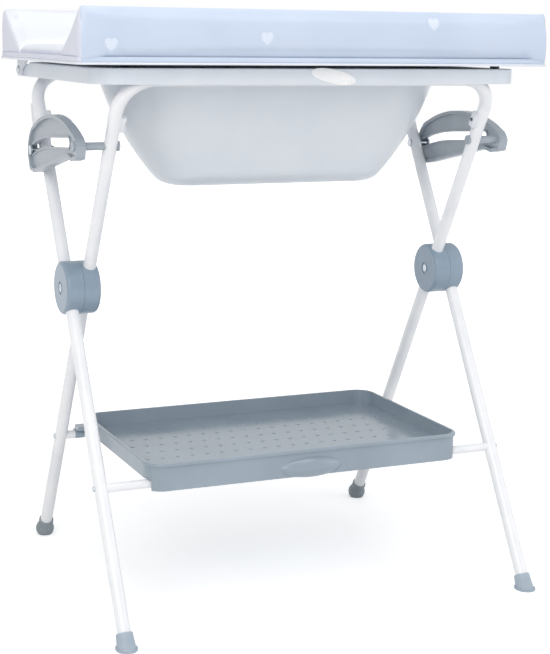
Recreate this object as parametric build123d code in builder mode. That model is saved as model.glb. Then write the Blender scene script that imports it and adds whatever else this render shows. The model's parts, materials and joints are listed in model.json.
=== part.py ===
# Changing table with a bathtub on crossed tube legs. Millimetres, +Z up, +X along the length,
# +Y to the rear. The origin is on the floor, at the middle of the space the whole table takes.
from build123d import *
import math
import os

os.makedirs("parts", exist_ok=True)

# Frame tubes
tube_r = 11
tube_wall = 1.5
bend_r = 60
hub_y = 13
hub_z = 523
lean_outer = 30.6
lean_inner = 29.2
outer_leg_x = 363.5
frame_gap = 9
inner_leg_x = outer_leg_x - 2 * tube_r - frame_gap
top_tube_z = 877
front_foot_clearance = 9
rear_foot_clearance = 16

# Cross tubes
cross_r = 7.5
cross_wall = 1.2
front_cross_reach = 349
rear_cross_reach = 344
cross_screw_r = 4.5
cross_screw_h = 2.5

# Fits
running_clearance = 0.05
seat_gap = 0.3
overrun = 5

# Hubs
hub_r = 45
hub_wall = 3
hub_seam = 0.4
hub_edge = 6
hub_recess_r = 11
hub_recess_depth = 1.5
pivot_bolt_r = 4
pivot_head_r = 7

# Feet
foot_sleeve = 15
foot_top_r = 13.5
foot_flare_r = 15
foot_lip_r = 17.5
foot_lip_h = 3
rubber_collar_r = 13.4
rubber_bulb_r = 17
rubber_sleeve = 19
foot_bulb_share = 0.7

# Lock handles
handle_pivot_reach = 283
handle_pin_reach = 258
handle_width = 16
handle_leg_gap = 2
handle_length = 285
handle_height = 98
handle_rim = 6
handle_web = 5
handle_boss_r = 13
handle_slot_w = 15
handle_slot_lip = 3
handle_slot_lip_h = 2
handle_pivot_r = 6.5
handle_nub_r = 8
handle_nub_h = 3.5
guide_pin_r = 3.5
guide_head_r = 8.5
guide_head_h = 3
handle_share = 0.2
handle_arch_shares = [(-0.02, 0.13), (0.42, 0.44), (0.86, 0.2)]
handle_heel_shares = [(0.86, 0.2), (0.97, -0.03), (1, -0.33)]
handle_under_shares = [(1, -0.33), (0.955, -0.6), (0.86, -0.63), (0.14, -0.2), (0.06, -0.25), (-0.035, -0.2), (-0.055, 0)]
handle_corner_r = 6
slot_end_share = (0.155, 0.03)
fold_angle = 25
slot_runs = 3

# Leg clips
clip_length = 26
clip_width = 14
clip_depth = 7
clip_wall = 3
clip_screw_r = 3
clip_screw_h = 1.2
inner_clip_reach = 325
outer_clip_reach = 318

# Corner brackets
bracket_half_w = 8
bracket_rear = [(214, 822), (203, 775)]

# Tub
rim_front_y = -200.5
rim_rear_y = 237.5
rim_half_x = 378.5
rim_top_z = 894
rim_plate = 4
rim_skirt = 3
rim_skirt_z = 869
rim_corner_r = 48
rim_edge = 2.5
rear_skirt_half_x = 284
bowl_half_x = 308
bowl_half_y = 152
bowl_mid_half_x = 249
bowl_mid_half_y = 91
bowl_mid_z = 760
bowl_floor_half_x = 197
bowl_floor_half_y = 58
bowl_corner_r = 146
bowl_floor_corner_r = 57
bowl_floor_z = 692
bowl_floor_blend = 45
bowl_wall = 3
shoulder_w = 6
shoulder_h = 15
hinge_clip_w = 24
hinge_clip_x = 205
hinge_clip_wall = 4.5

# Drain
drain_x = -92
drain_ring_r = 20
drain_ring_h = 3
drain_collar_r = 13
drain_collar_h = 5
drain_stem_r = 9
drain_cap_r = 15
drain_cap_h = 3
drain_pull_r = 6
drain_pull_wire = 1.4
drain_nub = 2

# Mat
mat_half_x = 410
mat_front_y = -223
mat_rear_y = 257
mat_pad_h = 18
mat_wall_top_z = 989
mat_wall_base = 112
mat_crest_r = 9
mat_soft_r = 7
mat_crown = 4
mat_end_shares = [(0, 1), (0.3, 0.4), (1.1, 0)]
board_half_x = 390
board_inset_y = 5
board_h = 5.5
board_gap = 5.5
board_corner_r = 20
bumper_r = 8
bumper_x = 339
bumper_front_inset = 26
bumper_rear_inset = 42

# Mat hinge arms
arm_w = 5
arm_eye_r = 11
arm_pin_r = 4
arm_pin_head_r = 7
arm_pin_head_h = 2.5
arm_top_length = 62
arm_flange_h = 4
arm_side_gap = 1
mat_pin_y = 246
mat_pin_z = 880
ear_w = 5
ear_foot_y = 185

# Tray
tray_half_x = 291
tray_front_y = -190
tray_rear_y = 185
tray_floor_gap = 0.6
tray_floor = 2.4
tray_wall = 3
tray_wall_h = 26
tray_flange = 3
tray_flange_h = 5
tray_corner_r = 34
tray_apron_h = 18
tray_bearing_w = 26
tray_bearing_wall = 3.5
tray_bearing_x = 240
tray_hole_r = 3.8
tray_hole_pitch_x = 27
tray_hole_pitch_y = 42
tray_hole_columns = 20
tray_hole_rows = 6
grip_half_w = 60
grip_r = 19
grip_depth = 12
saddle_w = 16
saddle_wall = 3.5
saddle_open_from = -150
saddle_open_to = -30

# Worked-out places
lean_outer_rad = math.radians(lean_outer)
lean_inner_rad = math.radians(lean_inner)
outer_up = (math.sin(lean_outer_rad), math.cos(lean_outer_rad))
inner_up = (-math.sin(lean_inner_rad), math.cos(lean_inner_rad))
outer_top_reach = (top_tube_z - hub_z) / outer_up[1]
inner_top_reach = (top_tube_z - hub_z) / inner_up[1]
outer_foot_reach = (hub_z - front_foot_clearance) / outer_up[1]
inner_foot_reach = (hub_z - rear_foot_clearance) / inner_up[1]
rear_top_y = hub_y + outer_top_reach * outer_up[0]
outer_plane = Plane(origin=(0, hub_y, hub_z), x_dir=(1, 0, 0), z_dir=(0, -outer_up[1], outer_up[0]))
inner_plane = Plane(origin=(0, hub_y, hub_z), x_dir=(1, 0, 0), z_dir=(0, -inner_up[1], inner_up[0]))
hub_mid_x = (outer_leg_x + inner_leg_x) / 2
handle_in_x = outer_leg_x + tube_r + handle_leg_gap
handle_mid_x = handle_in_x + handle_width / 2
board_bottom_z = rim_top_z + board_gap
board_top_z = board_bottom_z + board_h
board_front_y = mat_front_y + board_inset_y
board_rear_y = mat_rear_y - board_inset_y
pad_top_z = board_top_z + mat_pad_h


def on_outer(reach):
    return hub_y + reach * outer_up[0], hub_z + reach * outer_up[1]


def on_inner(reach):
    return hub_y + reach * inner_up[0], hub_z + reach * inner_up[1]


def turned(point, centre, degrees):
    angle = math.radians(degrees)
    y = point[0] - centre[0]
    z = point[1] - centre[1]
    return (centre[0] + y * math.cos(angle) - z * math.sin(angle),
            centre[1] + y * math.sin(angle) + z * math.cos(angle))


def leg_plane(reach, up, x):
    return Plane(origin=(x, hub_y + reach * up[0], hub_z + reach * up[1]), x_dir=(1, 0, 0), z_dir=(0, up[0], up[1]))


def side_plane(side, x):
    return Plane(origin=(side * x, 0, 0), x_dir=(0, 1, 0), z_dir=(1, 0, 0))


def keep(builder, label):
    builder.part.label = label
    export_step(builder.part, "parts/" + label + ".step")


sides = {"left": -1, "right": 1}
handle_pivot = on_inner(handle_pivot_reach)
handle_pin = on_outer(handle_pin_reach)
front_cross = on_outer(-front_cross_reach)
rear_cross = on_inner(-rear_cross_reach)


# Bent frame tubes: each an inverted U in the plane of its own legs, bored for what passes through
def frame_tube(plane, leg_x, foot_reach, top_reach, side_bores):
    with BuildPart() as tube:
        with BuildLine(plane) as path:
            FilletPolyline((-leg_x, -foot_reach), (-leg_x, top_reach), (leg_x, top_reach),
                           (leg_x, -foot_reach), radius=bend_r)
        with BuildSketch(Plane(origin=path.line @ 0, z_dir=path.line % 0)):
            Circle(tube_r)
            Circle(tube_r - tube_wall, mode=Mode.SUBTRACT)
        sweep()
        for y, z, bore_r in side_bores:
            with Locations((0, y, z)):
                Cylinder(bore_r, 2 * (leg_x + 2 * tube_r), rotation=(0, 90, 0), mode=Mode.SUBTRACT)
    return tube


outer_frame_tube = frame_tube(outer_plane, outer_leg_x, outer_foot_reach, outer_top_reach,
                              [(hub_y, hub_z, pivot_bolt_r), (*handle_pin, guide_pin_r)])
keep(outer_frame_tube, "outer_frame_tube")
inner_frame_tube = frame_tube(inner_plane, inner_leg_x, inner_foot_reach, inner_top_reach,
                              [(hub_y, hub_z, pivot_bolt_r + running_clearance), (*handle_pivot, handle_pivot_r)])
keep(inner_frame_tube, "inner_frame_tube")


# Cross tubes: coped on the inner sides of the legs
def cross_tube(place, leg_x, up, reach):
    with BuildPart() as tube:
        with Locations((0, *place)):
            Cylinder(cross_r, 2 * leg_x, rotation=(0, 90, 0))
            Cylinder(cross_r - cross_wall, 2 * leg_x, rotation=(0, 90, 0), mode=Mode.SUBTRACT)
        for side in sides.values():
            with BuildSketch(leg_plane(-reach, up, side * leg_x)):
                Circle(tube_r)
            extrude(amount=3 * tube_r, both=True, mode=Mode.SUBTRACT)
    return tube


front_cross_tube = cross_tube(front_cross, outer_leg_x, outer_up, front_cross_reach)
keep(front_cross_tube, "front_cross_tube")
rear_cross_tube = cross_tube(rear_cross, inner_leg_x, inner_up, rear_cross_reach)
keep(rear_cross_tube, "rear_cross_tube")


# Domed screw heads on the outer sides of the legs, where the cross tubes end
def cross_screws(place, leg_x, up, reach):
    with BuildPart() as screws:
        for side in sides.values():
            with BuildSketch(side_plane(side, leg_x)):
                with Locations(place):
                    Circle(cross_screw_r)
            extrude(amount=side * (tube_r + cross_screw_h))
            with BuildSketch(leg_plane(-reach, up, side * leg_x)):
                Circle(tube_r)
            extrude(amount=3 * tube_r, both=True, mode=Mode.SUBTRACT)
        outer_tips = screws.faces().filter_by(Axis.X).edges()
        fillet(outer_tips, radius=cross_screw_h / 2)
    return screws


front_cross_screws = cross_screws(front_cross, outer_leg_x, outer_up, front_cross_reach)
keep(front_cross_screws, "front_cross_screws")
rear_cross_screws = cross_screws(rear_cross, inner_leg_x, inner_up, rear_cross_reach)
keep(rear_cross_screws, "rear_cross_screws")


# Hub halves: round casings, each closed round its own leg, that meet at a thin seam
def hub_half(side, up, leg_x, seam_x, face_x, bolt_bore):
    outward = 1 if face_x > seam_x else -1
    with BuildPart() as half:
        with BuildSketch(side_plane(side, seam_x)):
            with Locations((hub_y, hub_z)):
                Circle(hub_r)
        extrude(amount=side * (face_x - seam_x))
        rim = half.faces().sort_by(Axis.X)[-1 if side * outward > 0 else 0]
        fillet(rim.edges(), radius=hub_edge)
        with BuildSketch(side_plane(side, face_x)):
            with Locations((hub_y, hub_z)):
                Circle(hub_recess_r)
        extrude(amount=-side * outward * hub_recess_depth, mode=Mode.SUBTRACT)
        with BuildSketch(leg_plane(0, up, side * leg_x)):
            Circle(tube_r)
        extrude(amount=2 * hub_r, both=True, mode=Mode.SUBTRACT)
        with BuildSketch(side_plane(side, seam_x - outward * overrun)):
            with Locations((hub_y, hub_z)):
                Circle(bolt_bore)
        extrude(amount=side * outward * (abs(face_x - seam_x) + 2 * overrun), mode=Mode.SUBTRACT)
    return half


outer_face_x = outer_leg_x + tube_r + hub_wall
inner_face_x = inner_leg_x - tube_r - hub_wall
for name, side in sides.items():
    hub_outer = hub_half(side, outer_up, outer_leg_x, hub_mid_x + hub_seam / 2, outer_face_x, pivot_bolt_r)
    keep(hub_outer, "hub_outer_" + name)
    hub_inner = hub_half(side, inner_up, inner_leg_x, hub_mid_x - hub_seam / 2, inner_face_x,
                         pivot_bolt_r + running_clearance)
    keep(hub_inner, "hub_inner_" + name)

# Pivot bolts: a shank through both legs, a socket head in the outer recess, a nut in the inner one
for name, side in sides.items():
    head_x = outer_face_x - hub_recess_depth
    nut_x = inner_face_x + hub_recess_depth
    with BuildPart() as bolt:
        with BuildSketch(side_plane(side, nut_x)):
            with Locations((hub_y, hub_z)):
                Circle(pivot_bolt_r)
        extrude(amount=side * (head_x - nut_x))
        with BuildSketch(side_plane(side, head_x)):
            with Locations((hub_y, hub_z)):
                Circle(pivot_head_r)
        extrude(amount=side * hub_recess_depth)
        with BuildSketch(side_plane(side, head_x + hub_recess_depth)):
            with Locations((hub_y, hub_z)):
                RegularPolygon(radius=pivot_bolt_r, side_count=6)
        extrude(amount=-side * hub_recess_depth / 2, mode=Mode.SUBTRACT)
        with BuildSketch(side_plane(side, nut_x - running_clearance)):
            with Locations((hub_y, hub_z)):
                RegularPolygon(radius=pivot_head_r, side_count=6)
        extrude(amount=-side * (hub_recess_depth - running_clearance))
        with BuildSketch(side_plane(side, nut_x)):
            with Locations((hub_y, hub_z)):
                Circle(pivot_bolt_r)
        extrude(amount=-side * hub_recess_depth)
    keep(bolt, "hub_pivot_bolt_" + name)


# Front feet: flared sleeves over the tube ends with a level base lip
def front_foot(side):
    floor_reach = hub_z / outer_up[1]
    sleeve_top = outer_foot_reach - foot_sleeve
    with BuildPart() as foot:
        with BuildSketch(leg_plane(-sleeve_top, outer_up, side * outer_leg_x)):
            Circle(foot_top_r)
        with BuildSketch(leg_plane(-floor_reach - foot_lip_r, outer_up, side * outer_leg_x)):
            Circle(foot_flare_r + foot_flare_r - foot_top_r)
        loft()
        lip_y = on_outer(-(hub_z - foot_lip_h / 2) / outer_up[1])[0]
        with BuildSketch(Plane.XY):
            with Locations((side * outer_leg_x, lip_y)):
                Ellipse(foot_lip_r, foot_lip_r / outer_up[1])
        extrude(amount=foot_lip_h)
        with BuildSketch(leg_plane(-outer_foot_reach, outer_up, side * outer_leg_x)):
            Circle(tube_r)
        extrude(amount=foot_sleeve + overrun, mode=Mode.SUBTRACT)
        split(bisect_by=Plane.XY, keep=Keep.TOP)
    return foot


# Rear feet: rubber bulbs with a collar round the tube ends, flat on the floor
def rear_foot(side):
    bulb_y, bulb_z = on_inner(-(hub_z - rubber_bulb_r * foot_bulb_share) / inner_up[1])
    with BuildPart() as foot:
        with Locations((side * inner_leg_x, bulb_y, bulb_z)):
            Sphere(rubber_bulb_r)
        with BuildSketch(leg_plane(-inner_foot_reach + rubber_sleeve, inner_up, side * inner_leg_x)):
            Circle(rubber_collar_r)
        extrude(amount=-rubber_sleeve)
        with BuildSketch(leg_plane(-inner_foot_reach, inner_up, side * inner_leg_x)):
            Circle(tube_r)
        extrude(amount=rubber_sleeve + overrun, mode=Mode.SUBTRACT)
        split(bisect_by=Plane.XY, keep=Keep.TOP)
    return foot


for name, side in sides.items():
    keep(front_foot(side), "front_foot_" + name)
    keep(rear_foot(side), "rear_foot_" + name)


# The path of the guide pin as the handle sees it while the frame folds
def pin_in_handle(fold):
    pivot_now = turned(handle_pivot, (hub_y, hub_z), -fold)
    turn_back = fold * (1 - handle_share)
    seen = turned(handle_pin, pivot_now, turn_back)
    return (seen[0] - pivot_now[0] + handle_pivot[0], seen[1] - pivot_now[1] + handle_pivot[1])


def handle_point(along_share, up_share):
    return (handle_pivot[0] + along_share * handle_length, handle_pivot[1] + up_share * handle_height)


# The slot: runs of one width along the pin's path and on to the front end
def slot_shape(width):
    stops = [pin_in_handle(fold_angle * run / slot_runs) for run in range(slot_runs + 1)]
    stops.append(handle_point(*slot_end_share))
    with BuildSketch() as slot:
        for start, end in zip(stops, stops[1:]):
            run = math.dist(start, end)
            turn = math.degrees(math.atan2(end[1] - start[1], end[0] - start[0]))
            with Locations(((start[0] + end[0]) / 2, (start[1] + end[1]) / 2)):
                SlotCenterToCenter(run, width, rotation=turn)
    return slot.sketch


# The handle's outline, drawn in by an inset
def handle_outline(inset):
    with BuildSketch() as outline:
        with BuildLine():
            ThreePointArc(*[handle_point(*p) for p in handle_arch_shares])
            ThreePointArc(*[handle_point(*p) for p in handle_heel_shares])
            Polyline([handle_point(*p) for p in handle_under_shares])
            Line(handle_point(*handle_under_shares[-1]), handle_point(*handle_arch_shares[0]))
        make_face()
        fillet(outline.vertices(), radius=handle_corner_r)
        if inset:
            offset(amount=-inset)
    return outline.sketch


# Lock handles: an arched rim round a thin web with one long slot, and a boss at the front pivot
def lock_handle(side):
    mid = side_plane(side, handle_mid_x)
    with BuildPart() as handle:
        with BuildSketch(mid):
            add(handle_outline(0))
        extrude(amount=handle_width / 2, both=True)
        with BuildSketch(mid):
            add(handle_outline(handle_rim))
        extrude(amount=handle_width, both=True, mode=Mode.SUBTRACT)
        with BuildSketch(mid):
            add(handle_outline(handle_rim / 2))
        extrude(amount=handle_web / 2, both=True)
        with BuildSketch(mid):
            with Locations(handle_pivot):
                Circle(handle_boss_r)
        extrude(amount=handle_width / 2, both=True)
        with BuildSketch(mid):
            add(slot_shape(handle_slot_w + 2 * handle_slot_lip))
        extrude(amount=handle_web / 2 + handle_slot_lip_h, both=True)
        with BuildSketch(mid):
            add(slot_shape(handle_slot_w))
        extrude(amount=handle_width, both=True, mode=Mode.SUBTRACT)
        with BuildSketch(mid):
            with Locations(handle_pivot):
                Circle(handle_pivot_r + running_clearance)
        extrude(amount=handle_width, both=True, mode=Mode.SUBTRACT)
    return handle


for name, side in sides.items():
    keep(lock_handle(side), "lock_handle_" + name)


# Handle pivot rods: fixed in the inner legs, with a nub on the inner side and a flat head outside
for name, side in sides.items():
    with BuildPart() as rod:
        with BuildSketch(side_plane(side, inner_leg_x - tube_r - handle_nub_h)):
            with Locations(handle_pivot):
                Circle(handle_nub_r)
        extrude(amount=side * handle_nub_h)
        with BuildSketch(side_plane(side, inner_leg_x - tube_r)):
            with Locations(handle_pivot):
                Circle(handle_pivot_r)
        extrude(amount=side * (handle_in_x + handle_width + running_clearance - inner_leg_x + tube_r))
        with BuildSketch(side_plane(side, handle_in_x + handle_width + running_clearance)):
            with Locations(handle_pivot):
                Circle(handle_nub_r)
        extrude(amount=side * cross_screw_h)
    keep(rod, "handle_pivot_rod_" + name)

# Guide pins: fixed through the outer legs, with a head that runs outside the handle's web
pin_head_x = handle_mid_x + handle_web / 2 + handle_slot_lip_h + seat_gap
for name, side in sides.items():
    with BuildPart() as pin:
        with BuildSketch(side_plane(side, outer_leg_x - tube_r - cross_screw_h)):
            with Locations(handle_pin):
                Circle(guide_pin_r)
        extrude(amount=side * (pin_head_x - outer_leg_x + tube_r + cross_screw_h))
        with BuildSketch(side_plane(side, pin_head_x)):
            with Locations(handle_pin):
                Circle(guide_head_r)
        extrude(amount=side * guide_head_h)
        with BuildSketch(side_plane(side, outer_leg_x - tube_r)):
            with Locations(handle_pin):
                Circle(2 * guide_pin_r)
        extrude(amount=-side * cross_screw_h)
    keep(pin, "handle_guide_pin_" + name)


# Leg clips: small saddles on the inner sides of the legs, a pair on each frame, with their screws
def leg_clips(up, reach, leg_x):
    with BuildPart() as clips:
        for side in sides.values():
            place = leg_plane(reach - clip_length / 2, up, side * leg_x)
            with BuildSketch(place):
                with Locations((-side * (tube_r + clip_depth) / 2, 0)):
                    RectangleRounded(tube_r + clip_depth, clip_width, clip_wall)
                Circle(tube_r, mode=Mode.SUBTRACT)
            extrude(amount=clip_length)
    return clips


def clip_screws(up, reach, leg_x):
    with BuildPart() as screws:
        for side in sides.values():
            with BuildSketch(side_plane(side, leg_x - tube_r - clip_depth)):
                with Locations((hub_y + reach * up[0], hub_z + reach * up[1])):
                    Circle(clip_screw_r)
            extrude(amount=-side * clip_screw_h)
    return screws


keep(leg_clips(inner_up, inner_clip_reach, inner_leg_x), "inner_leg_clips")
keep(clip_screws(inner_up, inner_clip_reach, inner_leg_x), "inner_clip_screws")
keep(leg_clips(outer_up, outer_clip_reach, outer_leg_x), "outer_leg_clips")
keep(clip_screws(outer_up, outer_clip_reach, outer_leg_x), "outer_clip_screws")

# Corner brackets: upright fins behind the tops of the outer legs
with BuildPart() as rear_leg_brackets:
    for side in sides.values():
        with BuildSketch(side_plane(side, outer_leg_x - bracket_half_w)):
            tops = [(on_outer((z - hub_z) / outer_up[1])[0], z) for y, z in bracket_rear]
            with BuildLine():
                Polyline(bracket_rear[0], bracket_rear[1], tops[1], tops[0], close=True)
            make_face()
        extrude(amount=side * 2 * bracket_half_w)
        with BuildSketch(leg_plane(0, outer_up, side * outer_leg_x)):
            Circle(tube_r)
        extrude(amount=outer_top_reach, mode=Mode.SUBTRACT)
keep(rear_leg_brackets, "rear_leg_brackets")

# Tub: a rim with skirts, and inside it a bowl that narrows downwards under a shoulder
rim_depth = rim_rear_y - rim_front_y
rim_mid_y = (rim_rear_y + rim_front_y) / 2
plate_bottom_z = rim_top_z - rim_plate
shoulder_z = plate_bottom_z - shoulder_h


def bowl_form(shrink):
    with BuildPart() as form:
        with BuildSketch(Plane.XY.offset(bowl_floor_z + shrink)):
            with Locations((0, hub_y)):
                RectangleRounded(2 * (bowl_floor_half_x - shrink), 2 * (bowl_floor_half_y - shrink),
                                 bowl_floor_corner_r - shrink)
        with BuildSketch(Plane.XY.offset(bowl_mid_z)):
            with Locations((0, hub_y)):
                RectangleRounded(2 * (bowl_mid_half_x - shrink), 2 * (bowl_mid_half_y - shrink),
                                 bowl_mid_half_y - shrink - overrun)
        with BuildSketch(Plane.XY.offset(shoulder_z + shrink)):
            with Locations((0, hub_y)):
                RectangleRounded(2 * (bowl_half_x - shoulder_w - shrink), 2 * (bowl_half_y - shoulder_w - shrink),
                                 bowl_corner_r - shoulder_w - shrink)
        loft()
        fillet(form.edges().group_by(Axis.Z)[0], radius=bowl_floor_blend - shrink)
        with BuildSketch(Plane.XY.offset(shoulder_z + shrink)):
            with Locations((0, hub_y)):
                RectangleRounded(2 * (bowl_half_x - shrink), 2 * (bowl_half_y - shrink), bowl_corner_r - shrink)
        extrude(amount=rim_top_z - shoulder_z)
    return form.part


bowl_outside = bowl_form(0)
bowl_inside = bowl_form(bowl_wall)
with BuildPart() as tub_rim:
    with BuildSketch(Plane.XY.offset(rim_skirt_z)):
        with Locations((0, rim_mid_y)):
            RectangleRounded(2 * rim_half_x, rim_depth, rim_corner_r)
    extrude(amount=rim_top_z - rim_skirt_z)
    fillet(tub_rim.edges().group_by(Axis.Z)[-1], radius=rim_edge)
    with BuildSketch(Plane.XY.offset(rim_skirt_z)):
        with Locations((0, rim_mid_y)):
            RectangleRounded(2 * (rim_half_x - rim_skirt), rim_depth - 2 * rim_skirt, rim_corner_r - rim_skirt)
    extrude(amount=plate_bottom_z - rim_skirt_z, mode=Mode.SUBTRACT)
    # The rear skirt stops short of the bends of the rear top tube
    for side in sides.values():
        with BuildSketch(Plane.XY.offset(rim_skirt_z)):
            with Locations((side * (rear_skirt_half_x + rim_half_x) / 2 - side * rim_skirt, rim_rear_y - rim_corner_r / 2)):
                Rectangle(rim_half_x - rear_skirt_half_x, rim_corner_r)
        extrude(amount=plate_bottom_z - rim_skirt_z, mode=Mode.SUBTRACT)
    # Notches in the rear skirt for the hinge clips
    for side in sides.values():
        with BuildSketch(Plane.XY.offset(rim_skirt_z)):
            with Locations((side * hinge_clip_x, rim_rear_y - rim_skirt / 2)):
                Rectangle(hinge_clip_w + 2 * seat_gap, 2 * rim_skirt)
        extrude(amount=plate_bottom_z - rim_skirt_z, mode=Mode.SUBTRACT)
    # Ears behind the rim's rear corners, for the mat's hinge pins
    for side in sides.values():
        with BuildSketch(side_plane(side, rim_half_x - ear_w)):
            with BuildLine():
                sole = Line((ear_foot_y, rim_skirt_z), (mat_pin_y, mat_pin_z - arm_eye_r))
                nose = ThreePointArc(sole @ 1, (mat_pin_y + arm_eye_r, mat_pin_z), (mat_pin_y, mat_pin_z + arm_eye_r))
                back = Line(nose @ 1, (ear_foot_y, plate_bottom_z))
                Line(back @ 1, sole @ 0)
            make_face()
        extrude(amount=side * ear_w)
    add(bowl_outside, mode=Mode.SUBTRACT)
keep(tub_rim, "tub_rim")
with BuildPart() as tub:
    add(bowl_outside)
    add(bowl_inside, mode=Mode.SUBTRACT)
    with Locations((drain_x, hub_y, bowl_floor_z)):
        Cylinder(drain_collar_r, 4 * bowl_wall, mode=Mode.SUBTRACT)
keep(tub, "tub")

# Hinge clips: collars on the rear top tube that hang from the rim plate
with BuildPart() as tub_hinge_clips:
    for side in sides.values():
        with BuildSketch(side_plane(side, hinge_clip_x - hinge_clip_w / 2)):
            with Locations((rear_top_y, top_tube_z)):
                Circle(tube_r + hinge_clip_wall)
            with Locations((rear_top_y - (tube_r + hinge_clip_wall) / 2, (top_tube_z + plate_bottom_z) / 2)):
                Rectangle(tube_r + hinge_clip_wall, plate_bottom_z - top_tube_z)
            with Locations((rear_top_y, plate_bottom_z + tube_r)):
                Rectangle(4 * tube_r, 2 * tube_r, mode=Mode.SUBTRACT)
            with Locations((rear_top_y, top_tube_z)):
                Circle(tube_r + running_clearance, mode=Mode.SUBTRACT)
        extrude(amount=side * hinge_clip_w)
keep(tub_hinge_clips, "tub_hinge_clips")

# Drain: a ring clamped in the tub floor and a plug with a pull
floor_in_z = bowl_floor_z + bowl_wall
with BuildPart() as drain_ring:
    with Locations((drain_x, hub_y, floor_in_z)):
        Cylinder(drain_ring_r, drain_ring_h, align=(Align.CENTER, Align.CENTER, Align.MIN))
    with Locations((drain_x, hub_y, floor_in_z)):
        Cylinder(drain_collar_r, drain_collar_h, align=(Align.CENTER, Align.CENTER, Align.MAX))
    with Locations((drain_x, hub_y, bowl_floor_z)):
        Cylinder(drain_stem_r + running_clearance, 2 * drain_ring_r, mode=Mode.SUBTRACT)
    chamfer(drain_ring.edges().group_by(Axis.Z)[-1].sort_by(SortBy.LENGTH)[-1], length=drain_ring_h / 2)
keep(drain_ring, "drain_ring")
plug_seat_z = floor_in_z + drain_ring_h + running_clearance
with BuildPart() as drain_plug:
    with Locations((drain_x, hub_y, plug_seat_z)):
        Cylinder(drain_cap_r, drain_cap_h, align=(Align.CENTER, Align.CENTER, Align.MIN))
    fillet(drain_plug.edges().group_by(Axis.Z)[-1], radius=drain_cap_h / 2)
    with Locations((drain_x, hub_y, plug_seat_z)):
        Cylinder(drain_stem_r, plug_seat_z - bowl_floor_z + drain_nub, align=(Align.CENTER, Align.CENTER, Align.MAX))
    with Locations((drain_x, hub_y, plug_seat_z + drain_cap_h)):
        Torus(drain_pull_r, drain_pull_wire, rotation=(90, 0, 0))
    with Locations((drain_x, hub_y, plug_seat_z + drain_cap_h - drain_pull_r - drain_pull_wire)):
        Cylinder(drain_stem_r - drain_pull_wire, drain_pull_r, align=(Align.CENTER, Align.CENTER, Align.MIN))
keep(drain_plug, "drain_plug")

# Mat board, with its bumpers on the rim
with BuildPart() as mat_board:
    with BuildSketch(Plane.XY.offset(board_bottom_z)):
        with Locations((0, (board_front_y + board_rear_y) / 2)):
            RectangleRounded(2 * board_half_x, board_rear_y - board_front_y, board_corner_r)
    extrude(amount=board_h)
keep(mat_board, "mat_board")
with BuildPart() as board_bumpers:
    with BuildSketch(Plane.XY.offset(rim_top_z + seat_gap)):
        with Locations((0, rim_mid_y + (bumper_front_inset - bumper_rear_inset) / 2)):
            with GridLocations(2 * bumper_x, rim_depth - bumper_front_inset - bumper_rear_inset, 2, 2):
                Circle(bumper_r)
    extrude(amount=board_gap - seat_gap)
    fillet(board_bumpers.edges().group_by(Axis.Z)[0], radius=bumper_r / 4)
keep(board_bumpers, "board_bumpers")

# Mat hinge arms: rounded plates outside the rim ends, from a flange under the board to the pin
arm_in_x = rim_half_x + arm_side_gap
for name, side in sides.items():
    with BuildPart() as arm:
        with BuildSketch(side_plane(side, arm_in_x)):
            with BuildLine():
                top = Line((board_rear_y, board_bottom_z), (board_rear_y - arm_top_length, board_bottom_z))
                front = Line(top @ 1, (mat_pin_y - arm_eye_r, mat_pin_z))
                eye = ThreePointArc(front @ 1, (mat_pin_y, mat_pin_z - arm_eye_r), (mat_pin_y + arm_eye_r, mat_pin_z))
                Line(eye @ 1, top @ 0)
            make_face()
            with Locations((mat_pin_y, mat_pin_z)):
                Circle(arm_pin_r + running_clearance, mode=Mode.SUBTRACT)
        extrude(amount=side * arm_w)
    keep(arm, "mat_hinge_arm_" + name)
    with BuildPart() as arm_pin:
        with BuildSketch(side_plane(side, rim_half_x)):
            with Locations((mat_pin_y, mat_pin_z)):
                Circle(arm_pin_r)
        extrude(amount=side * (arm_side_gap + arm_w + running_clearance))
        with BuildSketch(side_plane(side, arm_in_x + arm_w + running_clearance)):
            with Locations((mat_pin_y, mat_pin_z)):
                Circle(arm_pin_head_r)
        extrude(amount=side * arm_pin_head_h)
        fillet(arm_pin.faces().sort_by(Axis.X)[-1 if side > 0 else 0].edges(), radius=arm_pin_head_h / 2)
    keep(arm_pin, "mat_hinge_pin_" + name)

# Padded mat: a flat pad and two long wedge walls with a crowned face
with BuildPart() as mat_pad:
    with BuildSketch(Plane.XY.offset(board_top_z)):
        with Locations((0, (mat_front_y + mat_rear_y) / 2)):
            RectangleRounded(2 * mat_half_x, mat_rear_y - mat_front_y, mat_soft_r)
    extrude(amount=mat_pad_h)
    fillet(mat_pad.edges().group_by(Axis.Z)[-1], radius=mat_soft_r)
keep(mat_pad, "mat_pad")


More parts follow.
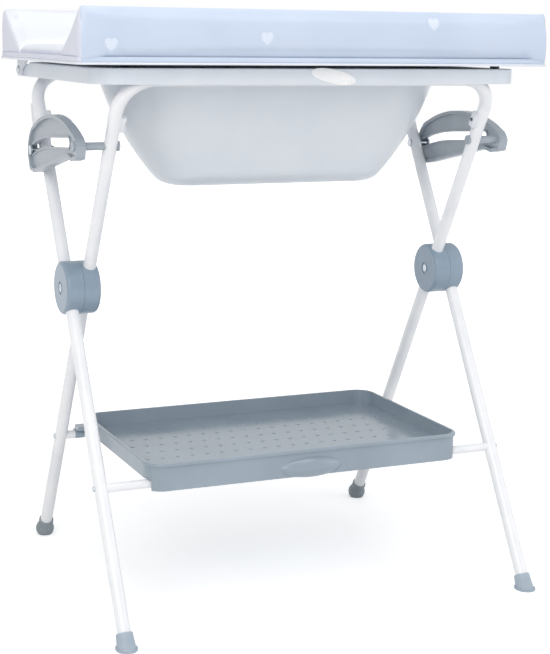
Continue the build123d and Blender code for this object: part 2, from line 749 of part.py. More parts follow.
# One wedge wall: upright outer face with a slight belly, rounded crest, full slope inwards, drawn-in ends
def mat_wall(outer_y, inward):
    stations = [(-mat_half_x + along * mat_soft_r, draw * mat_soft_r) for along, draw in mat_end_shares]
    stations = stations + [(-x, draw) for x, draw in reversed(stations)]
    with BuildPart() as wall:
        for x, draw in stations:
            foot = (outer_y + inward * (mat_soft_r + draw), pad_top_z)
            toe = (outer_y + inward * (mat_wall_base - draw), pad_top_z)
            crest_z = mat_wall_top_z - mat_crest_r - draw
            crest_out = (outer_y + inward * (mat_crest_r / 2 + draw), crest_z)
            crest_in = (crest_out[0] + inward * 2 * mat_crest_r, crest_z)
            crest_top = (crest_out[0] + inward * mat_crest_r, crest_z + mat_crest_r)
            belly = (outer_y + inward * draw, (pad_top_z + mat_wall_top_z) / 2)
            slope = ((crest_in[0] + toe[0]) / 2 + inward * mat_crown, (crest_in[1] + toe[1]) / 2 + mat_crown)
            with BuildSketch(side_plane(1, x)):
                with BuildLine():
                    ThreePointArc(foot, belly, crest_out)
                    ThreePointArc(crest_out, crest_top, crest_in)
                    ThreePointArc(crest_in, slope, toe)
                    Line(toe, foot)
                make_face()
        loft(ruled=True)
    return wall


keep(mat_wall(mat_front_y, 1), "mat_front_wall")
keep(mat_wall(mat_rear_y, -1), "mat_rear_wall")

# Tray: drafted walls with a flange, a perforated floor, and a deeper front with a finger grip
tray_floor_z = rear_cross[1] + cross_r + tray_floor_gap
tray_depth = tray_rear_y - tray_front_y
tray_mid_y = (tray_rear_y + tray_front_y) / 2
tray_top_z = tray_floor_z + tray_floor + tray_wall_h
tray_body_x = tray_half_x - tray_flange
tray_body_depth = tray_depth - 2 * tray_flange
with BuildPart() as tray:
    with BuildSketch(Plane.XY.offset(tray_floor_z)):
        with Locations((0, tray_mid_y)):
            RectangleRounded(2 * tray_body_x, tray_body_depth, tray_corner_r - tray_flange)
    extrude(amount=tray_top_z - tray_floor_z)
    with BuildSketch(Plane.XY.offset(tray_top_z - tray_flange_h)):
        with Locations((0, tray_mid_y)):
            RectangleRounded(2 * tray_half_x, tray_depth, tray_corner_r)
    extrude(amount=tray_flange_h)
    fillet(tray.edges().group_by(Axis.Z)[-1], radius=tray_flange_h / 2)
    # The apron in front of the cross tube
    with BuildSketch(Plane.XY.offset(tray_floor_z - tray_apron_h)) as apron:
        with Locations((0, tray_mid_y)):
            RectangleRounded(2 * tray_body_x, tray_body_depth, tray_corner_r - tray_flange)
            RectangleRounded(2 * (tray_body_x - tray_wall), tray_body_depth - 2 * tray_wall,
                             tray_corner_r - tray_flange - tray_wall, mode=Mode.SUBTRACT)
        with Locations((0, front_cross[0] - cross_r - tray_wall + tray_depth)):
            Rectangle(3 * tray_half_x, 2 * tray_depth, mode=Mode.SUBTRACT)
    extrude(amount=tray_apron_h)
    # The finger grip: a long dome on the front wall
    grip_y = tray_front_y + tray_flange - grip_depth + grip_r
    grip_z = tray_floor_z - tray_apron_h / 2 + grip_depth / 2
    with BuildSketch(Plane.XY.offset(grip_z)):
        with BuildLine():
            grip_bow = EllipticalCenterArc((0, grip_y), grip_half_w, grip_r, start_angle=180, arc_size=180)
            Line(grip_bow @ 0, grip_bow @ 1)
        make_face()
    revolve(axis=Axis((0, grip_y, grip_z), (1, 0, 0)))
    with BuildSketch(Plane.XY.offset(tray_floor_z - 3 * grip_r)):
        with Locations((0, tray_front_y + tray_flange + tray_wall + grip_r)):
            Rectangle(3 * grip_half_w, 2 * grip_r)
    extrude(amount=3 * grip_r, mode=Mode.SUBTRACT)
    with BuildSketch(Plane.XY.offset(tray_floor_z + tray_floor)):
        with Locations((0, tray_mid_y)):
            RectangleRounded(2 * (tray_body_x - tray_wall), tray_body_depth - 2 * tray_wall,
                             tray_corner_r - tray_flange - tray_wall)
    extrude(amount=tray_wall_h, mode=Mode.SUBTRACT)
    with BuildSketch(Plane.XY.offset(tray_floor_z)):
        with Locations((0, tray_mid_y)):
            for row in range(tray_hole_rows):
                row_y = (row - (tray_hole_rows - 1) / 2) * tray_hole_pitch_y
                shift = (row % 2) * tray_hole_pitch_x / 2 - tray_hole_pitch_x / 4
                with Locations((shift, row_y)):
                    with GridLocations(tray_hole_pitch_x, tray_hole_pitch_y, tray_hole_columns, 1):
                        Circle(tray_hole_r)
    extrude(amount=tray_floor, mode=Mode.SUBTRACT)
keep(tray, "tray")

# Tray bearings: collars on the front cross tube, under the tray floor
with BuildPart() as tray_bearings:
    for side in sides.values():
        with BuildSketch(side_plane(side, tray_bearing_x - tray_bearing_w / 2)):
            with Locations(front_cross):
                Circle(cross_r + tray_bearing_wall)
            with Locations((front_cross[0], (front_cross[1] + tray_floor_z) / 2)):
                Rectangle(2 * (cross_r + tray_bearing_wall), tray_floor_z - front_cross[1])
            with Locations((front_cross[0], tray_floor_z + cross_r)):
                Rectangle(4 * cross_r, 2 * cross_r, mode=Mode.SUBTRACT)
            with Locations(front_cross):
                Circle(cross_r + running_clearance, mode=Mode.SUBTRACT)
        extrude(amount=side * tray_bearing_w)
keep(tray_bearings, "tray_bearings")

# Rear saddles: hooks over the top and back of the rear cross tube, open to the front below
with BuildPart() as tray_saddles:
    for side in sides.values():
        with BuildSketch(side_plane(side, tray_half_x)):
            with Locations(rear_cross):
                Circle(cross_r + saddle_wall)
                Circle(cross_r + seat_gap, mode=Mode.SUBTRACT)
            with BuildLine():
                reach = 3 * (cross_r + saddle_wall)
                start = math.radians(saddle_open_from)
                end = math.radians(saddle_open_to)
                Polyline(rear_cross,
                         (rear_cross[0] + reach * math.cos(start), rear_cross[1] + reach * math.sin(start)),
                         (rear_cross[0], rear_cross[1] - 2 * reach),
                         (rear_cross[0] + reach * math.cos(end), rear_cross[1] + reach * math.sin(end)),
                         close=True)
            make_face(mode=Mode.SUBTRACT)
        extrude(amount=side * saddle_w)
        # The lug that ties the saddle to the tray's side wall
        with BuildSketch(side_plane(side, tray_body_x)):
            with Locations((rear_cross[0] - cross_r - saddle_wall * 2, tray_floor_z + saddle_wall + cross_r / 2)):
                Rectangle(3 * cross_r, cross_r)
        extrude(amount=side * (saddle_w + tray_flange))
keep(tray_saddles, "tray_saddles")
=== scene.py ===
# Looks for a changing table with a bathtub: finishes, the padded mat, small trim, light and camera.
# Lengths in the settings are metres unless their names end in Mm, colours are sRGB hex.
import math

import bmesh
import bpy
from mathutils import Matrix, Vector
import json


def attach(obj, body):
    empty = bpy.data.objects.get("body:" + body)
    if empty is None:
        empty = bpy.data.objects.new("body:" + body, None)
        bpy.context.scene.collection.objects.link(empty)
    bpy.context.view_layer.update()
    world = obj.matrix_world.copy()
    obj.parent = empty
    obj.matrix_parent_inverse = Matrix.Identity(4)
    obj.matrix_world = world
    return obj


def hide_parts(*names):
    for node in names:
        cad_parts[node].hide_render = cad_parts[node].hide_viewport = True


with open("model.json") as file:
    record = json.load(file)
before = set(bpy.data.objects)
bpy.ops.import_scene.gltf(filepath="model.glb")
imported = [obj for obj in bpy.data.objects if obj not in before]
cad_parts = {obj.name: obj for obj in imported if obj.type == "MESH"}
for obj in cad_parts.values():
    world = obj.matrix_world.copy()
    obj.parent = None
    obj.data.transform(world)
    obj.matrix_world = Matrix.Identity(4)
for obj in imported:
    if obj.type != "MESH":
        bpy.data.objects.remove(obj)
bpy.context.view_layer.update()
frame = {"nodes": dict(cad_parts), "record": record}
nodes = frame["nodes"]
metreMm = 1000  # millimetres in a metre
print("frame loaded:", len(nodes), "nodes")


def linearColour(hexColour):
    values = [int(hexColour[i:i + 2], 16) / 255 for i in (1, 3, 5)]
    return tuple(v / 12.92 if v <= 0.04045 else ((v + 0.055) / 1.055) ** 2.4 for v in values) + (1.0,)


def addNode(tree, kind, settings=None, links=None):
    node = tree.nodes.new(kind)
    for key, value in (settings or {}).items():
        if isinstance(key, str) and hasattr(node, key):
            setattr(node, key, value)
        else:
            node.inputs[key].default_value = value
    for key, source in (links or {}).items():
        tree.links.new(source, node.inputs[key])
    return node


def newMaterial(name):
    material = bpy.data.materials.new(name)
    material.use_nodes = True
    tree = material.node_tree
    tree.nodes.clear()
    output = addNode(tree, "ShaderNodeOutputMaterial")
    shader = addNode(tree, "ShaderNodeBsdfPrincipled")
    tree.links.new(shader.outputs["BSDF"], output.inputs["Surface"])
    coords = addNode(tree, "ShaderNodeTexCoord")
    return material, tree, shader, coords.outputs["Object"]


# Slow drifts between a finish's shade and its colour, driftMm across
def driftingColour(tree, place, look):
    drift = addNode(tree, "ShaderNodeTexNoise", {"Scale": metreMm / look["driftMm"], "Detail": 3.0}, {"Vector": place})
    shades = addNode(tree, "ShaderNodeValToRGB", links={"Fac": drift.outputs["Fac"]})
    for element, stop, colour in zip(shades.color_ramp.elements, look["driftStops"], (look["shade"], look["colour"])):
        element.position = stop
        element.color = linearColour(colour)
    return drift.outputs["Fac"], shades.outputs["Color"]


# Roughness that wanders a little below and above its middle value
def wanderingGloss(tree, shader, source, look):
    gloss = addNode(tree, "ShaderNodeMapRange", {"To Min": look["roughness"] - look["glossBelow"],
                                                 "To Max": look["roughness"] + look["glossAbove"]}, {"Value": source})
    tree.links.new(gloss.outputs["Result"], shader.inputs["Roughness"])


mouldSkin = {"driftStops": (0.3, 0.7), "grainDepth": 0.0004, "glossBelow": 0.05, "glossAbove": 0.07, "glow": 0.0,
             "glowReach": (0.006, 0.006, 0.007), "glowScale": 1.0}


# Moulded plastic and rubber: the mould's fine grain, and slow drifts of shade where the melt cooled
def mouldedPlastic(name, look):
    material, tree, shader, place = newMaterial(name)
    look = {**mouldSkin, **look}
    drift, colour = driftingColour(tree, place, look)
    tree.links.new(colour, shader.inputs["Base Color"])
    wanderingGloss(tree, shader, drift, look)
    grain = addNode(tree, "ShaderNodeTexNoise", {"Scale": metreMm / look["grainMm"], "Detail": 2.0}, {"Vector": place})
    bump = addNode(tree, "ShaderNodeBump", {"Strength": look["grain"], "Distance": look["grainDepth"]},
                   {"Height": grain.outputs["Fac"]})
    tree.links.new(bump.outputs["Normal"], shader.inputs["Normal"])
    shader.inputs["IOR"].default_value = look["ior"]
    shader.inputs["Subsurface Weight"].default_value = look["glow"]
    shader.inputs["Subsurface Radius"].default_value = look["glowReach"]
    shader.inputs["Subsurface Scale"].default_value = look["glowScale"]
    return material


# Powder-coated steel: a thick glossy skin with a soft orange peel
def powderCoatedSteel(name, look):
    material, tree, shader, place = newMaterial(name)
    peel = addNode(tree, "ShaderNodeTexNoise", {"Scale": metreMm / look["peelMm"], "Detail": 1.0}, {"Vector": place})
    colour = driftingColour(tree, place, look)[1]
    tree.links.new(colour, shader.inputs["Base Color"])
    bump = addNode(tree, "ShaderNodeBump", {"Strength": look["peel"], "Distance": look["peelDepth"]},
                   {"Height": peel.outputs["Fac"]})
    tree.links.new(bump.outputs["Normal"], shader.inputs["Normal"])
    shader.inputs["Roughness"].default_value = look["roughness"]
    shader.inputs["Coat Weight"].default_value = look["coat"]
    shader.inputs["Coat Roughness"].default_value = look["coatRoughness"]
    return material


# Zinc-plated steel: a pale bright metal with fine turning marks
def zincPlatedSteel(name, look):
    material, tree, shader, place = newMaterial(name)
    marks = addNode(tree, "ShaderNodeTexNoise", {"Scale": metreMm / look["marksMm"], "Detail": 4.0, "Distortion": 0.6},
                    {"Vector": place})
    shades = addNode(tree, "ShaderNodeValToRGB", links={"Fac": marks.outputs["Fac"]})
    shades.color_ramp.elements[0].color = linearColour(look["shade"])
    shades.color_ramp.elements[1].color = linearColour(look["colour"])
    tree.links.new(shades.outputs["Color"], shader.inputs["Base Color"])
    bump = addNode(tree, "ShaderNodeBump", {"Strength": look["marks"], "Distance": look["marksDepth"]},
                   {"Height": marks.outputs["Fac"]})
    tree.links.new(bump.outputs["Normal"], shader.inputs["Normal"])
    shader.inputs["Metallic"].default_value = 1.0
    shader.inputs["Roughness"].default_value = look["roughness"]
    return material


heartBlur = 0.12  # softness of the printed hearts' edge


# A heart of the printed pattern, 1 inside and 0 outside, from (u^2 + v^2 - 1)^3 < u^2 v^3
def heartMask(tree, across, up, heart):
    def maths(operation, first, second):
        node = addNode(tree, "ShaderNodeMath", {"operation": operation})
        for socket, value in zip(node.inputs, (first, second)):
            if isinstance(value, float):
                socket.default_value = value
            else:
                tree.links.new(value, socket)
        return node.outputs[0]

    u = maths("DIVIDE", maths("SUBTRACT", across, heart["x"]), heart["size"])
    v = maths("DIVIDE", maths("SUBTRACT", up, heart["z"]), heart["size"])
    uu = maths("MULTIPLY", u, u)
    vv = maths("MULTIPLY", v, v)
    vvv = maths("MULTIPLY", vv, v)
    ring = maths("SUBTRACT", maths("ADD", uu, vv), 1.0)
    cube = maths("MULTIPLY", maths("MULTIPLY", ring, ring), ring)
    gap = maths("SUBTRACT", maths("MULTIPLY", uu, vvv), cube)
    edge = addNode(tree, "ShaderNodeMapRange",
                   {"interpolation_type": "SMOOTHSTEP", "From Min": -heartBlur, "From Max": heartBlur}, {"Value": gap})
    return edge.outputs["Result"]


vinylSkin = {"grainMm": 2.0, "grain": 0.10, "grainDepth": 0.0004, "creaseMm": 90, "crease": 0.25, "creaseDepth": 0.004,
             "creaseRun": (0.35, 1.0, 1.6), "driftMm": 160, "driftStops": (0.3, 0.7), "glossBelow": 0.06,
             "glossAbove": 0.08, "ior": 1.52, "sheen": 0.08}


# Welded vinyl (soft PVC on a cloth backing): satin skin, fine leather grain, a few soft creases
def weldedVinyl(name, look):
    material, tree, shader, place = newMaterial(name)
    look = {**vinylSkin, **look}
    colour = driftingColour(tree, place, look)[1]
    axes = addNode(tree, "ShaderNodeSeparateXYZ", links={"Vector": place})
    for heart in look.get("hearts", []):
        mask = heartMask(tree, axes.outputs["X"], axes.outputs["Z"], heart)
        printed = addNode(tree, "ShaderNodeMix", {"data_type": "RGBA", "B": linearColour(look["heart"])},
                          {"Factor": mask, "A": colour})
        colour = printed.outputs["Result"]
    tree.links.new(colour, shader.inputs["Base Color"])
    # Leather grain is near 0.8 mm on the real skin and is drawn at 2 mm so that it shows
    grain = addNode(tree, "ShaderNodeTexVoronoi",
                    {"Scale": metreMm / look["grainMm"], "feature": "SMOOTH_F1", "Smoothness": 0.6}, {"Vector": place})
    stretch = addNode(tree, "ShaderNodeMapping", {"Scale": look["creaseRun"]}, {"Vector": place})
    crease = addNode(tree, "ShaderNodeTexNoise",
                     {"Scale": metreMm / look["creaseMm"], "Detail": 2.0, "Distortion": 0.8},
                     {"Vector": stretch.outputs["Vector"]})
    fine = addNode(tree, "ShaderNodeBump", {"Strength": look["grain"], "Distance": look["grainDepth"]},
                   {"Height": grain.outputs["Distance"]})
    soft = addNode(tree, "ShaderNodeBump", {"Strength": look["crease"], "Distance": look["creaseDepth"]},
                   {"Height": crease.outputs["Fac"], "Normal": fine.outputs["Normal"]})
    tree.links.new(soft.outputs["Normal"], shader.inputs["Normal"])
    wanderingGloss(tree, shader, crease.outputs["Fac"], look)
    shader.inputs["IOR"].default_value = look["ior"]
    shader.inputs["Sheen Weight"].default_value = look["sheen"]
    return material


finishes = {
    # Powder-coated steel tube: white, glossy, a soft orange peel
    "white_tube": powderCoatedSteel("powderCoatedSteel", {
        "colour": "#f7f8fa", "shade": "#f0f2f6", "roughness": 0.32,
        "peelMm": 2.5, "peel": 0.12, "peelDepth": 0.0003, "driftMm": 60, "driftStops": (0.35, 0.65),
        "coat": 0.35, "coatRoughness": 0.15}),
    # Zinc-plated screws and pins: pale grey metal
    "zinc_fastener": zincPlatedSteel("zincPlatedSteel", {
        "colour": "#c9cfd4", "shade": "#aab2b9", "roughness": 0.34,
        "marksMm": 1.2, "marks": 0.2, "marksDepth": 0.0002}),
    # ABS hub halves, moulded: satin blue-grey with a fine spark-eroded grain
    "hub_grey": mouldedPlastic("mouldedAbs", {
        "colour": "#90a2b3", "shade": "#889bac", "roughness": 0.33,
        "grainMm": 2.2, "grain": 0.22, "driftMm": 45, "ior": 1.54}),
    # Soft PVC feet at the front, moulded: pale, nearly matt
    "foot_light_grey": mouldedPlastic("softPvc", {
        "colour": "#b0bdc9", "shade": "#a4b2bf", "roughness": 0.5,
        "grainMm": 2.0, "grain": 0.25, "driftMm": 25, "ior": 1.5}),
    # Rubber feet at the rear, moulded: darker and matt
    "foot_dark_grey": mouldedPlastic("naturalRubber", {
        "colour": "#959fa5", "shade": "#889298", "roughness": 0.62,
        "grainMm": 1.8, "grain": 0.35, "driftMm": 20, "ior": 1.52}),
    # Glass-filled nylon handles, moulded: satin, with the faint mottle of the fibres
    "handle_grey": mouldedPlastic("glassFilledNylon", {
        "colour": "#a9b2bb", "shade": "#9da7b0", "roughness": 0.34,
        "grainMm": 1.8, "grain": 0.3, "driftMm": 35, "ior": 1.53}),
    # Polypropylene bath, moulded in a polished tool: smooth, and a little light passes through
    "tub_white": mouldedPlastic("mouldedPolypropylene", {
        "colour": "#e4eaf1", "shade": "#dce3ec", "roughness": 0.3,
        "grainMm": 3.0, "grain": 0.06, "driftMm": 140, "ior": 1.49, "glow": 0.25}),
    # Acetal clips, arms and brackets, moulded: white and slick
    "clip_white": mouldedPlastic("mouldedAcetal", {
        "colour": "#eceff3", "shade": "#e2e6ec", "roughness": 0.35,
        "grainMm": 2.0, "grain": 0.12, "driftMm": 30, "ior": 1.48}),
    # Polyethylene drain ring, moulded: waxy mid grey
    "drain_white": mouldedPlastic("mouldedPolyethylene", {
        "colour": "#8d959e", "shade": "#7f8790", "roughness": 0.4,
        "grainMm": 1.5, "grain": 0.15, "driftMm": 20, "ior": 1.51}),
    # Silicone bumpers and plug, moulded: dark and matt
    "bumper_grey": mouldedPlastic("siliconeRubber", {
        "colour": "#55616b", "shade": "#48535d", "roughness": 0.55,
        "grainMm": 1.5, "grain": 0.2, "driftMm": 15, "ior": 1.43}),
    # Fibreboard under the mat, lacquered: a sealed, slightly rippled white skin
    "board_white": mouldedPlastic("lacqueredFibreboard", {
        "colour": "#eef2f6", "shade": "#e4e9ef", "roughness": 0.4,
        "grainMm": 4.0, "grain": 0.1, "driftMm": 90, "ior": 1.5}),
    # Polypropylene tray, moulded: glossy blue-grey with hardly any grain
    "tray_grey_blue": mouldedPlastic("grainedPolypropylene", {
        "colour": "#9caab6", "shade": "#92a0ac", "roughness": 0.16,
        "grainMm": 2.4, "grain": 0.06, "driftMm": 110, "ior": 1.49}),
}
heartSize = 0.0088
vinylHearts = [{"x": -0.3624, "z": 0.9285, "size": heartSize}, {"x": -0.1078, "z": 0.9400, "size": heartSize},
               {"x": 0.1897, "z": 0.9658, "size": heartSize}]
sideVinyl = weldedVinyl("printedVinyl", {"colour": "#cdd9ec", "shade": "#c5d2e6", "roughness": 0.42, "heart": "#dde6f5",
                                         "hearts": vinylHearts})
# A whiter copy of the printed vinyl for the inside and top: painted highlight of the strong top light
paintedHighlightVinyl = weldedVinyl("paintedHighlightPlainVinyl", {"colour": "#eceff5", "shade": "#e4e9f2", "roughness": 0.4})
# A darker copy of the plain vinyl for the mat's ends: painted shade on the end panels
paintedShadeEndVinyl = weldedVinyl("paintedShadeEndPlainVinyl", {"colour": "#e3e6f1", "shade": "#d9dded", "roughness": 0.42})
matVinyls = [sideVinyl, paintedHighlightVinyl, paintedShadeEndVinyl]
print("finishes made:", len(finishes) + len(matVinyls))

slotOf = {part["node"]: part["material_slot"] for part in frame["record"]["subparts"]}
for name, node in nodes.items():
    slotName = slotOf.get(name)
    if slotName in finishes:
        node.data.materials.clear()
        node.data.materials.append(finishes[slotName])
print("finishes on the carried nodes")


def meshPiece(name, mesh, materials, body):
    piece = bpy.data.objects.new(name, mesh)
    bpy.context.collection.objects.link(piece)
    mesh.materials.clear()
    for material in materials:
        mesh.materials.append(material)
    for polygon in mesh.polygons:
        polygon.use_smooth = True
    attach(piece, body)
    return piece


def newPiece(name, bm, materials, body):
    mesh = bpy.data.meshes.new(name)
    bm.to_mesh(mesh)
    bm.free()
    return meshPiece(name, mesh, materials, body)


# Moves what an extrusion grew
def pullOut(bm, grown, along):
    bmesh.ops.translate(bm, vec=along, verts=[v for v in grown if isinstance(v, bmesh.types.BMVert)])


def roundEdges(bm, radius):
    bmesh.ops.bevel(bm, geom=bm.edges[:], offset=radius, affect="EDGES", segments=3, profile=0.5, material=-1)


# The mat: foam wedges and a flat pad in one welded cover
matLook = {
    "halfX": 0.4125, "frontY": -0.2235, "rearY": 0.2575, "underZ": 0.9062, "padTopZ": 0.9225,
    "wedgeSwell": 0.0035, "padSwell": 0.004, "wedgeVoxelMm": 6.0, "padVoxelMm": 7.5,
    "endTurn": 0.6, "printDepth": 0.0075, "downTurn": 0.5, "fill": 0.7,
}
wedgeLook = {"base": 0.110, "crestZ": 0.9925, "crestRadius": 0.0075, "toeDrop": 0.015, "toeBack": 0.002,
             "belly": 0.0008, "lean": 0.003, "crestNear": 0.6, "crestFar": 1.9, "slopeCrown": 0.006, "edgeRound": 0.004}
padLook = {"tuck": 0.004, "edgeRound": 0.006}
stuffing = {"pressure": 4.0, "frames": 16, "quality": 5, "mass": 0.4, "tension": 22, "compression": 12}


# A wedge from its section: outer foot, belly, rounded crest, slope, toe
def wedgeShape(look, mat, outerY, inward):
    low = mat["padTopZ"] - look["toeDrop"]
    crest = look["crestZ"] - look["crestRadius"]
    outline = [(0.0, mat["underZ"]), (-look["belly"], 0.5 * (mat["underZ"] + crest)), (look["lean"], crest),
               (look["lean"] + look["crestNear"] * look["crestRadius"], look["crestZ"]),
               (look["lean"] + look["crestFar"] * look["crestRadius"], crest),
               (0.5 * look["base"] + look["slopeCrown"], 0.5 * (low + crest) + look["slopeCrown"]),
               (look["base"], mat["padTopZ"]), (look["base"] - look["toeBack"], low)]
    bm = bmesh.new()
    ring = [bm.verts.new((-mat["halfX"], outerY + inward * y, z)) for y, z in outline]
    face = bmesh.ops.contextual_create(bm, geom=ring)["faces"]
    pullOut(bm, bmesh.ops.extrude_face_region(bm, geom=face)["geom"], (2 * mat["halfX"], 0, 0))
    bmesh.ops.recalc_face_normals(bm, faces=bm.faces)
    roundEdges(bm, look["edgeRound"])
    return bm


def padShape(look, mat):
    size = (2 * mat["halfX"] - look["tuck"], mat["rearY"] - mat["frontY"] - look["tuck"],
            mat["padTopZ"] - mat["underZ"])
    bm = bmesh.new()
    bmesh.ops.create_cube(bm, size=1.0)
    bmesh.ops.scale(bm, vec=size, verts=bm.verts)
    middle = (0, (mat["rearY"] + mat["frontY"]) / 2, (mat["padTopZ"] + mat["underZ"]) / 2)
    bmesh.ops.translate(bm, vec=middle, verts=bm.verts)
    roundEdges(bm, look["edgeRound"])
    return bm


# Foam pushes the cover out: a voxel remesh, a short cloth run under pressure, and a cap on how far it moves
def stuff(piece, look, voxelMm, swell):
    bpy.context.view_layer.objects.active = piece
    remesh = piece.modifiers.new("evenSkin", "REMESH")
    remesh.mode = "VOXEL"
    remesh.voxel_size = voxelMm / metreMm
    remesh.use_smooth_shade = True
    bpy.ops.object.select_all(action="DESELECT")
    piece.select_set(True)
    bpy.ops.object.modifier_apply(modifier=remesh.name)
    before = [v.co.copy() for v in piece.data.vertices]
    cloth = piece.modifiers.new("swell", "CLOTH")
    cloth.settings.quality = look["quality"]
    cloth.settings.mass = look["mass"]
    cloth.settings.use_pressure = True
    cloth.settings.uniform_pressure_force = look["pressure"]
    cloth.settings.effector_weights.gravity = 0.0
    cloth.settings.tension_stiffness = look["tension"]
    cloth.settings.compression_stiffness = look["compression"]
    cloth.point_cache.frame_start = 1
    cloth.point_cache.frame_end = look["frames"]
    for number in range(1, look["frames"] + 1):
        bpy.context.scene.frame_set(number)
    bpy.ops.object.modifier_apply(modifier=cloth.name)
    bpy.context.scene.frame_set(1)
    for vertex, home in zip(piece.data.vertices, before):
        move = vertex.co - home
        if move.length > swell:
            move = move.normalized() * swell
        vertex.co = home + move
    for polygon in piece.data.polygons:
        polygon.use_smooth = True


# The printed vinyl is on the long outer sides and beneath. The inside and top get a whiter copy of it, a painted
# highlight where the top light falls, and the ends a darker copy, painted shade
def paintPanels(piece, look):
    for polygon in piece.data.polygons:
        y, z = polygon.center.y, polygon.center.z
        front = y < look["frontY"] + look["printDepth"] and polygon.normal.y < 0
        rear = y > look["rearY"] - look["printDepth"] and polygon.normal.y > 0
        beneath = z < look["padTopZ"] and polygon.normal.z < -look["downTurn"]
        atEnd = abs(polygon.normal.x) > look["endTurn"]
        # Index 1 is the whiter copy, painted highlight; index 2 is the darker copy, painted shade
        polygon.material_index = 2 if atEnd else 0 if front or rear or beneath else 1


def smoothPiece(piece):
    levels = piece.modifiers.new("finerSkin", "SUBSURF")
    levels.levels = 1
    levels.render_levels = 1


pad = newPiece("matPadCushion", padShape(padLook, matLook), matVinyls, "mat")
frontShape = wedgeShape(wedgeLook, matLook, matLook["frontY"], 1)
frontWedge = newPiece("matFrontWedge", frontShape, matVinyls, "mat")
rearShape = wedgeShape(wedgeLook, matLook, matLook["rearY"], -1)
rearWedge = newPiece("matRearWedge", rearShape, matVinyls, "mat")
for piece, kind, node in ((pad, "pad", "mat_pad"), (frontWedge, "wedge", "mat_front_wall"),
                          (rearWedge, "wedge", "mat_rear_wall")):
    stuff(piece, stuffing, matLook[kind + "VoxelMm"], matLook[kind + "Swell"])
    paintPanels(piece, matLook)
    smoothPiece(piece)
    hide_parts(node)
print("mat stuffed")


# A round bead swept along a closed line of points
def bead(name, points, radius, material, body):
    curve = bpy.data.curves.new(name + "Line", "CURVE")
    curve.dimensions = "3D"
    curve.bevel_depth = radius
    curve.bevel_resolution = 3
    spline = curve.splines.new("POLY")
    spline.points.add(len(points) - 1)
    for point, place in zip(spline.points, points):
        point.co = (*place, 1.0)
    spline.use_cyclic_u = True
    holder = bpy.data.objects.new(name + "Line", curve)
    bpy.context.collection.objects.link(holder)
    graph = bpy.context.evaluated_depsgraph_get()
    mesh = bpy.data.meshes.new_from_object(holder.evaluated_get(graph))
    bpy.data.objects.remove(holder)
    mesh.name = name
    return meshPiece(name, mesh, [material], body)


# The cover's hem: a band that hides the board's edge, with a bead along its foot
hemLook = {"topZ": 0.9115, "footZ": 0.9012, "thick": 0.0024, "corner": 0.012, "out": 0.0004, "beadOut": 0.0006,
           "beadRadius": 0.0019, "cornerSteps": 8}


# The mat's outline with rounded corners, a little outside it, at the hem's foot
def hemOutline(look, mat, out):
    halfX, frontY, rearY, corner = mat["halfX"] + out, mat["frontY"] - out, mat["rearY"] + out, look["corner"]
    points = []
    for cx, cy, start in ((halfX - corner, rearY - corner, 0), (-halfX + corner, rearY - corner, 90),
                          (-halfX + corner, frontY + corner, 180), (halfX - corner, frontY + corner, 270)):
        for step in range(look["cornerSteps"] + 1):
            angle = math.radians(start + 90 * step / look["cornerSteps"])
            points.append((cx + corner * math.cos(angle), cy + corner * math.sin(angle), look["footZ"]))
    return points


def hemBand(look, mat):
    bm = bmesh.new()
    ring = [bm.verts.new(place) for place in hemOutline(look, mat, look["out"])]
    edges = [bm.edges.new((a, b)) for a, b in zip(ring, ring[1:] + ring[:1])]
    pullOut(bm, bmesh.ops.extrude_edge_only(bm, edges=edges)["geom"], (0, 0, look["topZ"] - look["footZ"]))
    bmesh.ops.recalc_face_normals(bm, faces=bm.faces)
    bmesh.ops.solidify(bm, geom=bm.faces[:], thickness=look["thick"])
    bmesh.ops.recalc_face_normals(bm, faces=bm.faces)
    return bm


hem = newPiece("matCoverHem", hemBand(hemLook, matLook), [sideVinyl, paintedShadeEndVinyl], "mat")
# The hem's ends take the darker copy of the vinyl, painted shade
for polygon in hem.data.polygons:
    polygon.material_index = 1 if abs(polygon.normal.x) > matLook["endTurn"] else 0
beadLine = hemOutline(hemLook, matLook, hemLook["beadOut"])
# The bead is in the whiter copy of the vinyl, the painted highlight
bead("matHemBead", beadLine, hemLook["beadRadius"], paintedHighlightVinyl, "mat")
print("hem sewn on")

# Bare oval plate on the front of the rim, tilted
plateLook = {"x": 0.0209, "z": 0.8815, "halfLong": 0.041, "halfHigh": 0.0115, "thick": 0.0012, "tilt": 11.0,
             "faceY": -0.2006, "edgeRound": 0.0004, "edgeTurn": 0.9}


def ovalPlate(look):
    bm = bmesh.new()
    bmesh.ops.create_circle(bm, cap_ends=True, radius=1.0, segments=64)
    pullOut(bm, bmesh.ops.extrude_face_region(bm, geom=bm.faces[:])["geom"], (0, 0, 1.0))
    bmesh.ops.recalc_face_normals(bm, faces=bm.faces)
    size = Matrix.Diagonal((look["halfLong"], look["halfHigh"], look["thick"], 1.0))
    tilted = Matrix.Rotation(math.radians(look["tilt"]), 4, "Y") @ Matrix.Rotation(math.radians(90), 4, "X")
    place = Matrix.Translation((look["x"], look["faceY"], look["z"])) @ tilted @ size
    bmesh.ops.transform(bm, matrix=place, verts=bm.verts)
    rims = [e for e in bm.edges if len(e.link_faces) == 2 and e.calc_face_angle(0) > look["edgeTurn"]]
    bmesh.ops.bevel(bm, geom=rims, offset=look["edgeRound"], affect="EDGES", segments=2, profile=0.5, material=-1)
    return bm


# Lacquered plastic plate: bright white and smooth
plateFinish = mouldedPlastic("lacqueredPlate", {
    "colour": "#fcfcfd", "shade": "#f6f7f9", "roughness": 0.25,
    "grainMm": 3.0, "grain": 0.05, "driftMm": 30, "ior": 1.5})
newPiece("rimBadgePlate", ovalPlate(plateLook), [plateFinish], "tub")
print("small trim made")

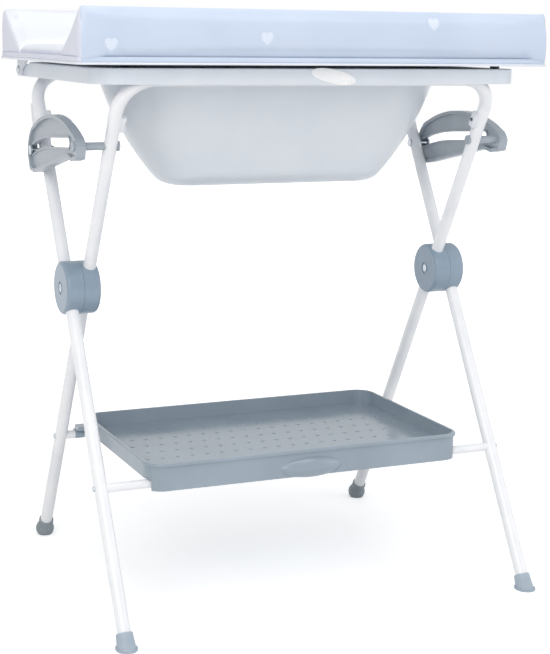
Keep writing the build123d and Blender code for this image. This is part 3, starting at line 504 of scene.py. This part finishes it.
# Stage: a wide white floor that keeps the object's shadow, under a white sky
stageLook = {"radius": 14, "paint": "#f7f7f8", "roughness": 0.8, "shadowNear": 0.7, "shadowFar": 3.2, "liftNear": 0.45,
             "skyLight": 0.38, "skyShown": 1.0}
bpy.ops.mesh.primitive_circle_add(vertices=96, radius=stageLook["radius"], fill_type="NGON", location=(0, 0, 0))
floor = bpy.context.object
floor.name = "studioFloor"
floorPaint, floorTree, floorShader, floorPlace = newMaterial("mattFloorPaint")
floorShader.inputs["Base Color"].default_value = linearColour(stageLook["paint"])
floorShader.inputs["Roughness"].default_value = stageLook["roughness"]


# 1 where the camera or a reflection looks, 0 where the surface only lights others
def seenShare(tree):
    rays = addNode(tree, "ShaderNodeLightPath")
    seen = addNode(tree, "ShaderNodeMath", {"operation": "MAXIMUM"},
                   {0: rays.outputs["Is Camera Ray"], 1: rays.outputs["Is Glossy Ray"]})
    return seen.outputs[0]


away = addNode(floorTree, "ShaderNodeVectorMath", {"operation": "LENGTH"}, {0: floorPlace})
rise = addNode(floorTree, "ShaderNodeMapRange",
               {"From Min": stageLook["shadowNear"], "From Max": stageLook["shadowFar"],
                "To Min": stageLook["liftNear"], "To Max": stageLook["skyShown"]}, {"Value": away.outputs["Value"]})
lift = addNode(floorTree, "ShaderNodeMath", {"operation": "MULTIPLY"},
               {0: seenShare(floorTree), 1: rise.outputs["Result"]})
floorShader.inputs["Emission Color"].default_value = (1, 1, 1, 1)
floorTree.links.new(lift.outputs[0], floorShader.inputs["Emission Strength"])
floor.data.materials.append(floorPaint)

world = bpy.data.worlds.new("studioSky")
bpy.context.scene.world = world
world.use_nodes = True
skyTree = world.node_tree
skyTree.nodes.clear()
skyStrength = addNode(skyTree, "ShaderNodeMapRange", {"To Min": stageLook["skyLight"], "To Max": stageLook["skyShown"]},
                      {"Value": seenShare(skyTree)})
sky = addNode(skyTree, "ShaderNodeBackground", {"Color": linearColour("#ffffff")},
              {"Strength": skyStrength.outputs["Result"]})
addNode(skyTree, "ShaderNodeOutputWorld", links={"Surface": sky.outputs["Background"]})


def softbox(name, look):
    lamp = bpy.data.lights.new(name, "AREA")
    lamp.shape = "SQUARE"
    lamp.size = look["size"]
    lamp.energy = look["watts"]
    lamp.color = linearColour(look["colour"])[:3]
    holder = bpy.data.objects.new(name, lamp)
    holder.location = look["place"]
    holder.rotation_euler = (Vector(look["aim"]) - Vector(look["place"])).to_track_quat("-Z", "Y").to_euler()
    bpy.context.collection.objects.link(holder)


softboxes = {
    "keySoftbox": {"place": (-2.1, -2.9, 2.3), "aim": (0, 0, 0.5), "size": 2.2, "watts": 58, "colour": "#fffdfa"},
    "fillSoftbox": {"place": (2.9, -1.8, 1.5), "aim": (0, 0, 0.5), "size": 2.4, "watts": 24, "colour": "#f6f9ff"},
    "sideSoftbox": {"place": (-3.0, 0.3, 1.3), "aim": (0, 0, 0.7), "size": 1.8, "watts": 5, "colour": "#ffffff"},
    "topSoftbox": {"place": (0.1, -0.6, 3.2), "aim": (0, 0, 0.6), "size": 2.4, "watts": 32, "colour": "#ffffff"},
}
for name, boxLook in softboxes.items():
    softbox(name, boxLook)

# The camera at the photograph's place
cameraLook = {"place": (-1.07397, -2.47430, 0.95029), "yaw": 0.413, "pitch": 0.165, "roll": 0.013,
              "sensor": 36.0, "reach": 60, "focalPixels": 1544.9, "width": 550, "height": 654,
              "centreX": 275.0, "centreY": 290.0}


def photoCamera(look):
    camera = bpy.data.cameras.new("photoCamera")
    camera.sensor_fit = "VERTICAL"
    camera.sensor_height = look["sensor"]
    camera.lens = look["focalPixels"] * look["sensor"] / look["height"]
    camera.shift_x = -(look["centreX"] - look["width"] / 2) / look["height"]
    camera.shift_y = (look["centreY"] - look["height"] / 2) / look["height"]
    camera.clip_end = look["reach"]
    holder = bpy.data.objects.new("photoCamera", camera)
    yaw, pitch, roll = look["yaw"], look["pitch"], look["roll"]
    forward = Vector((math.sin(yaw) * math.cos(pitch), math.cos(yaw) * math.cos(pitch), -math.sin(pitch)))
    right = Vector((math.cos(yaw), -math.sin(yaw), 0))
    up = right.cross(forward)
    rolledRight = right * math.cos(roll) + up * math.sin(roll)
    rolledUp = -right * math.sin(roll) + up * math.cos(roll)
    turn = Matrix((rolledRight, rolledUp, -forward)).transposed()
    holder.matrix_world = Matrix.Translation(look["place"]) @ turn.to_4x4()
    bpy.context.collection.objects.link(holder)
    bpy.context.scene.camera = holder


photoCamera(cameraLook)
bpy.context.scene.view_settings.view_transform = "Standard"
print("stage, lights and camera set")
